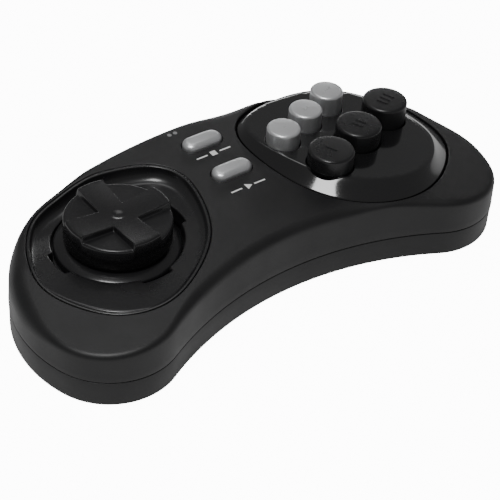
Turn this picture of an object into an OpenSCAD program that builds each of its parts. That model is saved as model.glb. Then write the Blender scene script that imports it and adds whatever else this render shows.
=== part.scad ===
// Six-button game pad: kidney-shaped body with a disc direction pad on the left
// and a raised oval carrying six round buttons on the right.
// Millimetres. X runs along the pad to the player's right, Y away from the player,
// Z up. The origin is the middle of the footprint, on the surface the feet stand on.

/* [Body] */
// overall width
body_w = 138; // [110:1:170]
// overall depth, front of the lobes to the back edge
body_d = 61.4; // [50:0.2:76]
// height of the parting line above the table
seam_z = 8; // [6:0.5:11]
// height of the top skin at the middle of the pad
crown_z = 21.3; // [18:0.1:26]
// radius of the barrel-shaped top skin
dome_r = 500; // [300:10:900]
// tilt of the top skin towards the player, degrees
top_tilt = 3.6; // [0:0.1:8]
// wall of both shells
wall = 2; // [1.6:0.1:2.6]
// standing height of the feet
foot_h = 0.6; // [0.4:0.1:1]

/* [Left dish] */
// floor of the dish at the direction pad
dish_floor_z = 18.2; // [17:0.1:19]
// outer radius of the direction disc
pad_r = 13.3; // [11:0.1:15]
// top of the disc between the arms
pad_top_z = 24.7; // [23:0.1:27]
// width of a direction arm
arm_w = 7.4; // [5:0.1:9]
// tilt of the disc each way, degrees
pad_tilt = 3; // [1:0.5:3.5]

/* [Right oval] */
// height of the sloping plateau on the centre line of the pad
plateau_z = 24.5; // [23.5:0.1:26]
// fall of the plateau for each millimetre to the right
plateau_fall = 0.055; // [0.03:0.005:0.08]
// top of the buttons
button_top_z = 28; // [26.5:0.1:30]
// radius of the three large buttons
big_r = 6; // [5:0.1:6.3]
// radius of the three small buttons
small_r = 4.45; // [3.6:0.05:4.8]
// spacing of the large buttons along their row
big_pitch = 14.2; // [13.8:0.1:15]
// spacing of the small buttons along their row
small_pitch = 11; // [10.8:0.1:12.4]
// direction of both rows, degrees
row_angle = 20.5; // [10:0.5:28]
// travel of every button
travel = 1.5; // [1:0.1:1.6]

/* [Menu buttons] */
// length of a menu button
pill_l = 11.6; // [9:0.1:13]
// width of a menu button
pill_w = 5; // [4:0.1:6]
// height of a menu button above the skin
pill_h = 1.6; // [1:0.1:2.4]

/* [Inside] */
// diameter of one battery cell
cell_d = 10.3; // [9.8:0.1:10.5]
// length of one battery cell
cell_l = 44; // [40:0.5:45]
// thickness of the circuit boards
board_t = 1.6; // [1:0.1:1.6]
// top of the main board
board_z = 14; // [13.9:0.05:14.1]
// top of the direction-pad board
pad_board_z = 11; // [10.6:0.1:11.2]

/* [Hidden] */
$fn = 48;
gap = 0.25;
fit = 0.15;
eps = 0.01;
// outline radii, all tied to the overall depth and width
shoulder_r = 0.562 * body_d;
lobe_r = 0.29 * body_d;
front_r = 1.48 * body_d;
lobe_turn = 20;
back_rise = body_d - lobe_r - (shoulder_r - lobe_r) * sin(lobe_turn);
sx = body_w / 2 - shoulder_r;
sy = body_d / 2 - back_rise;
back_r = (back_rise * back_rise + sx * sx - shoulder_r * shoulder_r)
       / (2 * (back_rise - shoulder_r));
back_cy = body_d / 2 - back_r;
back_half = atan2(sx, sy - back_cy);
lx = sx + (shoulder_r - lobe_r) * cos(lobe_turn);
ly = sy - (shoulder_r - lobe_r) * sin(lobe_turn);
front_cy = ly - sqrt(pow(front_r + lobe_r, 2) - lx * lx);
front_half = atan2(lx, ly - front_cy);
base_z = foot_h;
// each insert's oval: circles given from the shoulder centre, outwards and back
oval_k = shoulder_r / 34.5;
oval_right = [
    [-14.1, 22.1, 11.6],
    [-2.5, 11.2, 20.5],
    [1.4, 10.4, 25.5],
    [11.8, 6.5, 16.1],
    [7.5, 16.7, 13.5]
];
oval_left = [
    [-11.4, 18.3, 11.8],
    [0.4, 11.6, 21.1],
    [6.6, 2.7, 17.2],
    [9.8, 7.7, 16.9],
    [8.0, 17.1, 14.2]
];
ledge_z = 16;
ledge_t = 1.4;
ledge_w = 1.5;
insert_t = 1.9;
// dish and direction pad
dish_fall = 0.03;
dish_t = 1.5;
pad_x = -(sx + 2.1);
pad_y = sy + 11.9;
hole_r = pad_r + 3;
notch_w = 8;
notch_r = hole_r + 1.4;
flange_r = hole_r + 1.0;
flange_t = 1.2;
pivot_z = 14.2;
flange_top = dish_floor_z - dish_t - dish_fall * flange_r - 1.45;
ball_r = 2;
ball_gap = 0.06;
plunger_at = 9.4;
arm_rise = 1.7;
// buttons
mid_x = sx + 0.7;
mid_y = sy + 7.6;
row_x = cos(row_angle);
row_y = sin(row_angle);
small_x = mid_x - 7.6;
small_y = mid_y + 12.8;
guide_z = 18.4;
cap_gap = 0.2;
button_flange_t = 1.1;
ear_reach = 0.85;
ear_w = 5;
flange_gap = 0.15;
button_low = guide_z - flange_gap - button_flange_t;
dome_top = button_low - 0.15;
// menu buttons
start_y = sy + 15.3;
select_y = sy + 28.4;
// battery bay
bay_l = cell_l + 6;
bay_w = 2 * cell_d + 1.4;
bay_x = 4;
// flat cable between the two boards
cable_y = sy + 0.9;
cable_w = 4;
cable_end = sx - 19.3;
bay_y = sy + 16.7;
door_l = bay_l - 3;
door_w = bay_w - 1;
cell_z = base_z + 1.2 + cell_d / 2;
// screws
screw_at = [
    [-lx - 1, ly - 8.3],
    [lx + 1, ly - 8.3],
    [-10.8, body_d / 2 - 4.6],
    [10.8, body_d / 2 - 4.6],
    [0, front_cy + front_r + 6.4]
];
boss_r = 2.7;
screw_r = 1.1;
head_r = 2.1;
head_t = 1.4;
// small parts of the boards
board_post = [
    [sx + 12.5, sy - 0.3],
    [sx - 4.5, sy - 4.3]
];
pad_post = [
    [-(sx + 17), sy - 1],
    [-(sx - 9.5), sy - 2.8]
];
foot_r = 4;
foot_at = [
    [-lx + 6, ly + 0.5], [lx - 6, ly + 0.5],
    [-sx - 2, sy + 24], [sx + 2, sy + 24]
];

// height of the top skin above a point of the plan
function skin_z(x, y) =
    crown_z + y * tan(top_tilt) - x * x / (2 * dome_r);
function plateau_at(x) = plateau_z - plateau_fall * x;
function dish_at(x) = dish_floor_z + dish_fall * (x - pad_x);

// points of an arc, without its last point
function arc(cx, cy, r, a0, a1, n) =
    [for (i = [0:n - 1]) let (a = a0 + (a1 - a0) * i / n) [cx + r * cos(a), cy + r * sin(a)]];

// the body outline, drawn in by `o`, anticlockwise from the right lobe
function outline(o) = concat(
    arc(lx, ly, lobe_r - o, -90 - front_half, -lobe_turn, 14),
    arc(sx, sy, shoulder_r - o, -lobe_turn, 90 - back_half, 16),
    arc(0, back_cy, back_r - o, 90 - back_half, 90 + back_half, 14),
    arc(-sx, sy, shoulder_r - o, 90 + back_half, 180 + lobe_turn, 16),
    arc(-lx, ly, lobe_r - o, 180 + lobe_turn, 270 + front_half, 14),
    arc(0, front_cy, front_r + o, 90 + front_half, 90 - front_half, 14)
);

module slab(o, z0, z1) {
    translate([0, 0, z0])
        linear_extrude(z1 - z0)
            polygon(outline(o));
}

// the same with its lower edge eased in three steps of slope
module eased_slab(z0, z1, cut) {
    rows = [[cut * 2, z0], [cut * 0.9, z0 + cut * 0.4], [cut * 0.25, z0 + cut * 1.1],
            [0, z0 + cut * 2.2], [0, z1]];
    n = len(outline(0));
    m = len(rows);
    middle = [for (z = [z0, z1]) each [[sx + 0.4 * shoulder_r, sy, z], [-sx - 0.4 * shoulder_r, sy, z]]];
    points = concat([for (q = rows) for (p = outline(q[0])) [p[0], p[1], q[1]]], middle);
    sides = [for (k = [0:m - 2]) for (i = [0:n - 1])
        [k * n + i, (k + 1) * n + i, (k + 1) * n + (i + 1) % n, k * n + (i + 1) % n]];
    polyhedron(points, concat(cap(0, m * n), sides,
        [for (f = cap((m - 1) * n, m * n + 2)) [for (i = [len(f) - 1:-1:0]) f[i]]]), convexity = 6);
}

// a flat cap over one ring of outline points, as two fans and a strip between them
function cap(first, c) = concat(
    [for (i = [0:29]) [c, first + i, first + i + 1]],
    [[c, first + 30, first]],
    [for (i = [44:73]) [c + 1, first + i, first + i + 1]],
    [[c + 1, first + 74, first + 44]],
    [for (k = [0:13]) [first + 30 + k, first + 31 + k, first + 87 - k, first + (88 - k) % 88]]
);

// everything below the top skin lowered by `d`
module under_skin(d = 0) {
    translate([0, 0, crown_z - dome_r])
        rotate([top_tilt, 0, 0])
            rotate([90, 0, 0])
                cylinder(r = dome_r - d, h = 2 * body_d, center = true, $fn = 720);
}

// an insert's oval, drawn in by `o`
module oval_2d(o = 0, oval = oval_right) {
    hull()
        for (c = oval)
            translate([sx + c[0] * oval_k, sy + c[1] * oval_k])
                circle(r = c[2] * oval_k - o, $fn = 64);
}

module oval_slab(o, z0, z1, oval = oval_right) {
    translate([0, 0, z0])
        linear_extrude(z1 - z0)
            oval_2d(o, oval);
}

module left() {
    mirror([1, 0, 0])
        children();
}

function big_at(i) =
    [mid_x + (i - 2) * big_pitch * row_x, mid_y + (i - 2) * big_pitch * row_y];
function small_at(i) =
    [small_x + (i - 2) * small_pitch * row_x, small_y + (i - 2) * small_pitch * row_y];

module pill_2d(g = 0) {
    for (s = [-1, 1])
        translate([s * (pill_l - pill_w) / 2, 0])
            circle(r = pill_w / 2 + g);
    square([pill_l - pill_w, pill_w + 2 * g], center = true);
}

module pill_hole(y, g, z0, z1) {
    translate([0, y, z0])
        linear_extrude(z1 - z0)
            pill_2d(g);
}

module top_shell() {
    color("#232323")
        difference() {
            union() {
                difference() {
                    intersection() {
                        slab(0, seam_z, crown_z + 6);
                        under_skin(0);
                    }
                    intersection() {
                        slab(wall, seam_z - 1, crown_z + 6);
                        under_skin(wall);
                    }
                }
                // wells that carry the two inserts on a ledge
                intersection() {
                    union() {
                        oval_slab(-1.3, ledge_z - ledge_t, crown_z + 4);
                        left()
                            oval_slab(-1.3, ledge_z - ledge_t, crown_z + 4, oval_left);
                    }
                    under_skin(0.3);
                }
                for (p = screw_at)
                    intersection() {
                        translate([p[0], p[1], seam_z + 0.1])
                            cylinder(r = boss_r, h = crown_z - seam_z + 4);
                        under_skin(0.5);
                    }
            }
            for (s = [0, 1])
                mirror([s, 0, 0]) {
                    oval = s == 0 ? oval_right : oval_left;
                    oval_slab(0, ledge_z, crown_z + 6, oval);
                    oval_slab(ledge_w, ledge_z - ledge_t - 1, ledge_z + 1, oval);
                }
            pill_hole(start_y, gap, seam_z, crown_z + 6);
            pill_hole(select_y, gap, seam_z, crown_z + 6);
            for (p = screw_at)
                translate([p[0], p[1], seam_z - 1])
                    cylinder(r = screw_r + 0.02, h = 7.6);
        }
}

module bottom_shell() {
    color("#252525")
        difference() {
            union() {
                difference() {
                    eased_slab(base_z, seam_z - eps, 1.8);
                    slab(wall, base_z + wall, seam_z + 1);
                }
                // tongue that locates the upper shell
                difference() {
                    slab(wall + fit, seam_z - 3, seam_z + 1.6);
                    slab(wall + 1.2, seam_z - 4, seam_z + 2);
                    for (p = screw_at)
                        translate([p[0], p[1], seam_z - 0.2])
                            cylinder(r = boss_r + gap, h = 3);
                }
                difference() {
                    slab(wall - 0.4, seam_z - 3, seam_z - 0.6);
                    slab(wall + 1.2, seam_z - 4, seam_z);
                }
                for (p = screw_at)
                    translate([p[0], p[1], base_z + 0.5])
                        cylinder(r = boss_r, h = seam_z - base_z - 0.5);
                // battery bay walls
                translate([bay_x - bay_l / 2 - 1.4, bay_y - bay_w / 2 - 1.4, base_z + 0.4])
                    cube([bay_l + 2.8, bay_w + 2.8, 9]);
                for (p = board_post)
                    translate([p[0], p[1], base_z + 0.5])
                        cylinder(r = 2.2, h = board_z - board_t - base_z - 0.5);
                for (p = pad_post)
                    translate([p[0], p[1], base_z + 0.5])
                        cylinder(r = 2.2, h = pad_board_z - board_t - base_z - 0.5);
            }
            // the bay itself and the door opening under it
            translate([bay_x - bay_l / 2, bay_y - bay_w / 2, base_z + 1.2])
                cube([bay_l, bay_w, 12]);
            translate([bay_x - door_l / 2 - gap, bay_y - door_w / 2 - gap, base_z - 1])
                cube([door_l + 2 * gap, door_w + 2 * gap, 6]);
            for (p = screw_at) {
                translate([p[0], p[1], base_z - 1])
                    cylinder(r = screw_r + 0.2, h = seam_z + 4);
                translate([p[0], p[1], base_z - 1])
                    cylinder(r = head_r + 0.3, h = 1 + 3.4);
            }
            for (p = board_post)
                translate([p[0], p[1], board_z - board_t - 5])
                    cylinder(r = 0.85, h = 8);
            for (p = pad_post)
                translate([p[0], p[1], pad_board_z - board_t - 5])
                    cylinder(r = 0.85, h = 8);
            // shallow seats for the feet
            for (p = foot_at)
                translate([p[0], p[1], base_z - 1])
                    cylinder(r = foot_r + 0.15, h = 1.6);
        }
}

module feet() {
    color("#1a1a1a")
        for (p = foot_at)
            translate([p[0], p[1], 0]) {
                cylinder(r1 = foot_r - 0.5, r2 = foot_r, h = 0.5);
                translate([0, 0, 0.5])
                    cylinder(r = foot_r, h = foot_h + 0.05);
            }
}

module dish_insert() {
    color("#191919")
        left()
            difference() {
                intersection() {
                    oval_slab(fit, ledge_z + 0.02, crown_z + 4, oval_left);
                    under_skin(0.25);
                }
                // upper bowl, its floor falling gently outwards
                intersection() {
                    oval_slab(1.7, ledge_z, crown_z + 6, oval_left);
                    translate([-pad_x, pad_y, dish_floor_z])
                        rotate([0, atan(dish_fall), 0])
                            translate([-80, -80, 0])
                                cube([160, 160, 20]);
                }
                // hollow underside
                intersection() {
                    oval_slab(3.4, ledge_z - 1, crown_z, oval_left);
                    translate([-pad_x, pad_y, dish_floor_z - dish_t])
                        rotate([0, atan(dish_fall), 0])
                            translate([-80, -80, -20])
                                cube([160, 160, 20]);
                }
                translate([-pad_x, pad_y, ledge_z])
                    cylinder(r = hole_r, h = 10, $fn = 96);
                intersection() {
                    translate([-pad_x, pad_y, ledge_z])
                        cylinder(r = notch_r, h = 10, $fn = 96);
                    translate([-pad_x, pad_y, ledge_z + 5])
                        for (a = [0, 90])
                            rotate([0, 0, a])
                                cube([60, notch_w, 12], center = true);
                }
            }
}

// everything below a plane that falls to the right
module below_plane(z_mid, fall) {
    translate([0, 0, z_mid])
        rotate([0, atan(fall), 0])
            translate([-20, -80, -60])
                cube([140, 160, 60]);
}

module tilted_oval(o, z_mid, fall, t) {
    multmatrix([[1, 0, 0, 0], [0, 1, 0, 0], [-fall, 0, 1, z_mid], [0, 0, 0, 1]])
        linear_extrude(t)
            oval_2d(o);
}

module button_insert() {
    rim_z = 21.7;
    rim_fall = 0.085;
    color("#161616")
        difference() {
            union() {
                difference() {
                    union() {
                        intersection() {
                            oval_slab(0.45, ledge_z + 0.02, crown_z + 6);
                            below_plane(rim_z + 0.1, rim_fall);
                        }
                        hull() {
                            tilted_oval(0.62, rim_z - 0.7, rim_fall, 0.2);
                            tilted_oval(1.2, plateau_z - 0.9, plateau_fall, 0.1);
                            tilted_oval(2.3, plateau_z - 0.1, plateau_fall, 0.1);
                        }
                    }
                    intersection() {
                        oval_slab(3.6, ledge_z - 1, crown_z + 6);
                        below_plane(plateau_z - insert_t, plateau_fall);
                    }
                }
                // button guides hanging from the plate
                for (i = [1, 2, 3]) {
                    guide(big_at(i), big_r + cap_gap + 0.9);
                    guide(small_at(i), small_r + cap_gap + 0.9);
                }
            }
            for (i = [1, 2, 3]) {
                translate([big_at(i)[0], big_at(i)[1], ledge_z])
                    cylinder(r = big_r + cap_gap, h = 20);
                translate([small_at(i)[0], small_at(i)[1], ledge_z])
                    cylinder(r = small_r + cap_gap, h = 20);
                // room for the ears below the guides
                translate([big_at(i)[0], big_at(i)[1], 0])
                    ears(big_r + ear_reach + gap, ear_w + 2 * gap, ledge_z - 1, guide_z);
                translate([small_at(i)[0], small_at(i)[1], 0])
                    ears(small_r + ear_reach + gap, ear_w + 2 * gap, ledge_z - 1, guide_z);
            }
        }
}

module guide(p, r) {
    intersection() {
        translate([p[0], p[1], guide_z])
            cylinder(r = r, h = plateau_z - guide_z);
        below_plane(plateau_z - 0.3, plateau_fall);
    }
}

// two ears that keep a button from turning or coming out
module ears(r, w, z0, z1) {
    translate([0, 0, z0])
        intersection() {
            cylinder(r = r, h = z1 - z0);
            rotate([0, 0, row_angle])
                translate([-w / 2, -2 * r, -1])
                    cube([w, 4 * r, z1 - z0 + 2]);
        }
}

module button(p, r, dish) {
    top = button_top_z;
    translate([p[0], p[1], 0])
        difference() {
            union() {
                ears(r + ear_reach, ear_w, button_low, button_low + button_flange_t);
                translate([0, 0, button_low])
                    cylinder(r = r, h = top - 0.5 - button_low);
                translate([0, 0, top - 0.5])
                    cylinder(r1 = r, r2 = r - 0.5, h = 0.5);
            }
            translate([0, 0, button_low - 1])
                cylinder(r = r - 1.4, h = top - 2 - button_low);
            if (dish > 0)
                translate([0, 0, top + 40 - dish])
                    sphere(r = 40, $fn = 180);
        }
}

module plug(p) {
    translate([p[0], p[1], button_low])
        difference() {
            cylinder(r = 2.2, h = 9);
            translate([0, 0, -1])
                cylinder(r = 0.9, h = 3);
        }
}

module black_button(i) {
    color("#101010") {
        button(big_at(i), big_r, 0.15);
        plug(big_at(i));
    }
}

module silver_button(i) {
    color("#b9bcc0") {
        button(small_at(i), small_r, 0);
        plug(small_at(i));
    }
}

module black_button_1() { black_button(1); }
module black_button_2() { black_button(2); }
module black_button_3() { black_button(3); }
module silver_button_1() { silver_button(1); }
module silver_button_2() { silver_button(2); }
module silver_button_3() { silver_button(3); }

module menu_button(y) {
    z_top = skin_z(0, y) + pill_h;
    z_low = skin_z(pill_l / 2 + 1, y - pill_w / 2 - 1.2) - wall - 0.25;
    color("#c4c7ca") {
        difference() {
            translate([0, y, z_low - 1])
                linear_extrude(z_top - z_low + 1)
                    pill_2d(0);
            for (s = [-1, 1])
                translate([0, y + s * (pill_w / 2 - 0.7), z_top])
                    rotate([s * 45, 0, 0])
                        translate([-pill_l, s > 0 ? 0 : -3, 0])
                            cube([2 * pill_l, 3, 3]);
        }
        translate([0, y, z_low - 1])
            linear_extrude(1)
                pill_2d(0.9);
        translate([0, y, board_z + 2.9])
            cylinder(r = 1.9, h = z_low - board_z - 3.2);
    }
}

module start_button() { menu_button(start_y); }
module select_button() { menu_button(select_y); }

module dpad() {
    color("#1b1b1b")
        translate([pad_x, pad_y, 0]) {
            difference() {
                union() {
                    translate([0, 0, flange_top - flange_t])
                        cylinder(r = pad_r, h = pad_top_z - 0.6 - flange_top + flange_t, $fn = 96);
                    translate([0, 0, pad_top_z - 0.6])
                        cylinder(r1 = pad_r, r2 = pad_r - 0.6, h = 0.6, $fn = 96);
                    translate([0, 0, flange_top - flange_t])
                        cylinder(r = flange_r, h = flange_t, $fn = 96);
                    // four arms rising towards their ends
                    intersection() {
                        translate([0, 0, pad_top_z - 1])
                            cylinder(r = pad_r - 0.5, h = 6, $fn = 96);
                        for (a = [0, 90, 180, 270])
                            rotate([0, 0, a])
                                rotate([90, 0, 0])
                                    translate([0, 0, -arm_w / 2])
                                        linear_extrude(arm_w)
                                            polygon([
                                                [0, pad_top_z - 0.5],
                                                [0, pad_top_z + 0.5],
                                                [pad_r, pad_top_z + arm_rise],
                                                [pad_r, pad_top_z - 0.5]
                                            ]);
                    }
                }
                translate([0, 0, flange_top - flange_t - 1])
                    cylinder(r = pad_r - 1.6, h = pad_top_z - 2 - flange_top + flange_t + 1, $fn = 96);
                // thumb dimple
                translate([0, 0, pad_top_z + 0.5 + 5.8])
                    sphere(r = 6.1);
            }
            // socket that sits over the pivot ball
            difference() {
                translate([0, 0, pivot_z])
                    cylinder(r = ball_r + 1.4, h = pad_top_z - 1.5 - pivot_z);
                translate([0, 0, pivot_z])
                    sphere(r = ball_r + ball_gap);
            }
            for (a = [0, 90, 180, 270])
                rotate([0, 0, a])
                    translate([plunger_at, 0, pad_board_z + 2.25])
                        cylinder(r = 2, h = pad_top_z - 1.5 - pad_board_z - 2.25);
        }
}

module dpad_post() {
    color("#3a3a3a")
        translate([pad_x, pad_y, 0])
            difference() {
                union() {
                    translate([0, 0, pad_board_z + 0.02])
                        cylinder(r = 2.4, h = pivot_z - 0.6 - pad_board_z);
                    translate([0, 0, pad_board_z + 0.02])
                        cylinder(r = 3, h = 0.8);
                }
                translate([0, 0, pivot_z])
                    sphere(r = ball_r + ball_gap);
            }
}

module dpad_rocker() {
    color("#d8d6cf")
        translate([pad_x, pad_y, pivot_z])
            sphere(r = ball_r);
}

module dome_key(r, z0, h) {
    translate([0, 0, z0])
        difference() {
            cylinder(r1 = r, r2 = r - 1.1, h = h);
            translate([0, 0, -0.5])
                cylinder(r = r - 1.6, h = h - 0.2);
        }
}

module dpad_mat() {
    color("#6f7376")
        translate([pad_x, pad_y, 0])
            difference() {
                union() {
                    translate([0, 0, pad_board_z + 0.02])
                        cylinder(r = 13.4, h = 0.8);
                    for (a = [0, 90, 180, 270])
                        rotate([0, 0, a])
                            translate([plunger_at, 0, 0])
                                dome_key(3.4, pad_board_z + 0.5, 1.7);
                }
                translate([0, 0, pad_board_z - 1])
                    cylinder(r = 3.2, h = 3);
            }
}

module dpad_board() {
    color("#1f5a34")
        difference() {
            translate([0, 0, pad_board_z - board_t])
                linear_extrude(board_t)
                    difference() {
                        union() {
                            translate([pad_x, pad_y])
                                circle(r = 16.5, $fn = 96);
                            translate([-(sx + 21), sy - 5])
                                square([36, 12]);
                        }
                        // clear of the battery bay
                        translate([bay_x - bay_l / 2 - 1.8, bay_y - bay_w / 2 - 1.7])
                            square([20, 40]);
                    }
            for (p = pad_post)
                translate([p[0], p[1], pad_board_z - board_t - 1])
                    cylinder(r = 1.1, h = 4);
        }
}

module action_mat() {
    color("#6f7376")
        union() {
            difference() {
                intersection() {
                    oval_slab(ledge_w + 0.7, board_z + 0.02, board_z + 0.92);
                    translate([mid_x - 23, mid_y - 12, board_z])
                        cube([45, 34, 2]);
                    slab(wall + 2.5, board_z - 1, board_z + 2);
                }
                for (i = [1, 2, 3]) {
                    translate([big_at(i)[0], big_at(i)[1], board_z - 1])
                        cylinder(r = 2.6, h = 3);
                    translate([small_at(i)[0], small_at(i)[1], board_z - 1])
                        cylinder(r = 2, h = 3);
                }
                for (p = board_post)
                    translate([p[0], p[1], board_z - 1])
                        cylinder(r = 2.3, h = 3);
                translate([mid_x - 24, cable_y - gap, board_z - 1])
                    cube([cable_end + gap - mid_x + 24, cable_w + 2 * gap, 3]);
            }
            for (i = [1, 2, 3]) {
                translate([big_at(i)[0], big_at(i)[1], 0])
                    dome_key(4.2, board_z + 0.6, dome_top - board_z - 0.6);
                translate([small_at(i)[0], small_at(i)[1], 0])
                    dome_key(3.6, board_z + 0.6, dome_top - board_z - 0.6);
            }
        }
}

module menu_mat() {
    color("#6f7376")
        for (y = [start_y, select_y]) {
            difference() {
                translate([-4.6, y - 4.2, board_z + 0.02])
                    cube([9.2, 8.4, 0.9]);
                translate([0, y, board_z - 1])
                    cylinder(r = 1.8, h = 3);
            }
            translate([0, y, 0])
                dome_key(3.4, board_z + 0.6, 2.2);
        }
}

module main_board() {
    color("#1f5a34")
        difference() {
            intersection() {
                translate([0, 0, board_z - board_t])
                    linear_extrude(board_t)
                        union() {
                            translate([mid_x - 24, mid_y - 13])
                                square([47, 24]);
                            translate([mid_x - 24, mid_y + 10])
                                square([47, 12.5]);
                            translate([-9, start_y - 7])
                                square([mid_x - 12, select_y - start_y + 12]);
                            translate([mid_x - 22, mid_y - 16])
                                square([40, 6]);
                        }
                slab(wall + 1.5, board_z - 3, board_z + 3);
            }
            for (p = board_post)
                translate([p[0], p[1], board_z - board_t - 1])
                    cylinder(r = 1.1, h = 4);
            for (p = screw_at)
                translate([p[0], p[1], board_z - board_t - 1])
                    cylinder(r = boss_r + 0.4, h = 4);
        }
}

module controller_chip() {
    color("#0e0e0e")
        translate([sx + 4, sy + 3, board_z - board_t - 1.02]) {
            cylinder(r = 4.4, h = 1);
            translate([0, 0, -0.5])
                cylinder(r1 = 3.2, r2 = 4.4, h = 0.5);
        }
}

module radio_module() {
    color("#a9adb0")
        translate([sx + 12, sy + 4, board_z - board_t - 0.02]) {
            translate([0, 0, -0.8])
                cube([12, 9, 0.8]);
            translate([1, 1, -2.4])
                cube([8, 7, 1.62]);
        }
}

module ribbon_cable() {
    low = pad_board_z + 0.03;
    high = board_z + 0.03;
    t = 0.3;
    color("#8c8f92")
        translate([0, cable_y + cable_w, 0])
            rotate([90, 0, 0])
                linear_extrude(cable_w)
                    polygon([
                        [-24, low], [-24, low + t], [-17.1, low + t], [-9.1, high + t],
                        [cable_end, high + t], [cable_end, high], [-8.9, high], [-16.9, low]
                    ]);
}

module battery_leads() {
    color("#7a1a16")
        for (s = [0, 1])
            translate([bay_x + bay_l / 2 - 0.5, bay_y - 1.25 + 2.5 * s, base_z + 5])
                cylinder(r = 0.45, h = board_z - board_t - base_z - 5.05);
}

module battery(k) {
    y = bay_y + (k - 1.5) * (cell_d + 0.4);
    s = k == 1 ? 1 : -1;
    translate([bay_x, y, cell_z])
        rotate([0, 90 * s, 0]) {
            translate([0, 0, -cell_l / 2]) {
                color("#3b6ea5")
                    cylinder(r = cell_d / 2, h = cell_l - 1);
                color("#c9ccd0")
                    translate([0, 0, cell_l - 1])
                        cylinder(r = 1.8, h = 0.9);
            }
        }
}

module battery_1() { battery(1); }
module battery_2() { battery(2); }

module battery_contacts() {
    color("#c9ccd0")
        for (s = [-1, 1], k = [1, 2]) {
            y = bay_y + (k - 1.5) * (cell_d + 0.4);
            spring = (k == 1 ? -1 : 1) == s;
            translate([bay_x + s * (bay_l / 2 - 0.3) - 0.25, y - 3.6, base_z + 1.9])
                cube([0.5, 7.2, 8]);
            if (spring)
                translate([bay_x + s * (bay_l / 2 - 0.4), y, cell_z])
                    rotate([0, -90 * s, 0])
                        for (j = [0, 1, 2])
                            translate([0, 0, 0.3 + j * 0.8])
                                rotate_extrude()
                                    translate([3.2 - 0.5 * j, 0])
                                        circle(r = 0.42, $fn = 16);
            if (!spring)
                translate([bay_x + s * (bay_l / 2 - 0.4), y, cell_z])
                    rotate([0, -90 * s, 0])
                        cylinder(r = 2, h = (bay_l - cell_l) / 2 - 0.4);
        }
}

module battery_door() {
    back = bay_y + door_w / 2 - 0.5;
    color("#252525")
        union() {
            translate([bay_x - door_l / 2, bay_y - door_w / 2, base_z + 0.1])
                cube([door_l, door_w - 0.5, 1]);
            // round back edge that the door turns on
            translate([bay_x - door_l / 2, back, base_z + 0.6])
                rotate([0, 90, 0])
                    cylinder(r = 0.5, h = door_l);
            for (j = [-2, -1, 0, 1, 2])
                translate([bay_x - 6, bay_y - door_w / 2 + 4 + j * 1.3, base_z + 0.02])
                    cube([12, 0.6, 0.3]);
        }
}

module screw(p, z0, r, hr, ht, l) {
    translate([p[0], p[1], z0])
        difference() {
            union() {
                cylinder(r = hr, h = ht);
                cylinder(r = r, h = l);
            }
            translate([0, 0, -1])
                cylinder(r = hr * 0.5, h = 1.7, $fn = 6);
        }
}

module shell_screws() {
    color("#b9bcc0")
        for (p = screw_at)
            screw(p, base_z + 3.4 - head_t - 0.02, screw_r, head_r, head_t, 8.2);
}

module board_screws() {
    color("#b9bcc0") {
        for (p = board_post)
            translate([0, 0, board_z + 1.1])
                mirror([0, 0, 1])
                    screw(p, 0, 0.8, 1.7, 1.05, 4.5);
        for (p = pad_post)
            translate([0, 0, pad_board_z + 1.1])
                mirror([0, 0, 1])
                    screw(p, 0, 0.8, 1.7, 1.05, 4.5);
    }
}

top_shell();
bottom_shell();
dish_insert();
button_insert();
dpad();
dpad_post();
dpad_rocker();
dpad_mat();
dpad_board();
black_button_1();
black_button_2();
black_button_3();
silver_button_1();
silver_button_2();
silver_button_3();
start_button();
select_button();
action_mat();
menu_mat();
main_board();
controller_chip();
radio_module();
ribbon_cable();
battery_leads();
battery_1();
battery_2();
battery_contacts();
battery_door();
shell_screws();
board_screws();
feet();
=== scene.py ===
import math

import bmesh
import bpy
import numpy as np
from mathutils import Matrix, Vector
from mathutils.geometry import delaunay_2d_cdt


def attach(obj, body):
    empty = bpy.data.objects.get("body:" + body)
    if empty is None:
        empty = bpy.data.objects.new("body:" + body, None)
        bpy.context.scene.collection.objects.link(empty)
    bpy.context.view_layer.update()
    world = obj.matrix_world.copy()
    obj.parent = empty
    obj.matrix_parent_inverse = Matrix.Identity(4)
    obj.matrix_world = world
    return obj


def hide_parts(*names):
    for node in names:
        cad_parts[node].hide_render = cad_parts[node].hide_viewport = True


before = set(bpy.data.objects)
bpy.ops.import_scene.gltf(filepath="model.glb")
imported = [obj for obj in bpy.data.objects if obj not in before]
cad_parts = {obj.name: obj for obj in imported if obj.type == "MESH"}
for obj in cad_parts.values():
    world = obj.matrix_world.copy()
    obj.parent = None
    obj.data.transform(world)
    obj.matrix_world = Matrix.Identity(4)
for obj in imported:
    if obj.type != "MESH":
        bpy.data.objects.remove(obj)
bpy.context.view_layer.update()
MM = 0.001

# ---------------------------------------------------------------- sizes, mm
BODY_D = 61.4
BODY_W = 138.0
SEAM_Z = 8.0
CROWN_Z = 21.3
DOME_R = 500.0
TILT = math.tan(math.radians(3.6))
SHOULDER_R = 0.562 * BODY_D
LOBE_R = 0.29 * BODY_D
FRONT_R = 1.48 * BODY_D
TURN = 20.0
RISE = BODY_D - LOBE_R - (SHOULDER_R - LOBE_R) * math.sin(math.radians(TURN))
SX = BODY_W / 2 - SHOULDER_R
SY = BODY_D / 2 - RISE
BACK_R = (RISE**2 + SX**2 - SHOULDER_R**2) / (2 * (RISE - SHOULDER_R))
BACK_CY = BODY_D / 2 - BACK_R
BACK_HALF = math.degrees(math.atan2(SX, SY - BACK_CY))
LX = SX + (SHOULDER_R - LOBE_R) * math.cos(math.radians(TURN))
LY = SY - (SHOULDER_R - LOBE_R) * math.sin(math.radians(TURN))
FRONT_CY = LY - math.sqrt((FRONT_R + LOBE_R) ** 2 - LX**2)
FRONT_HALF = math.degrees(math.atan2(LX, LY - FRONT_CY))
FOOT_H = 0.6
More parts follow.
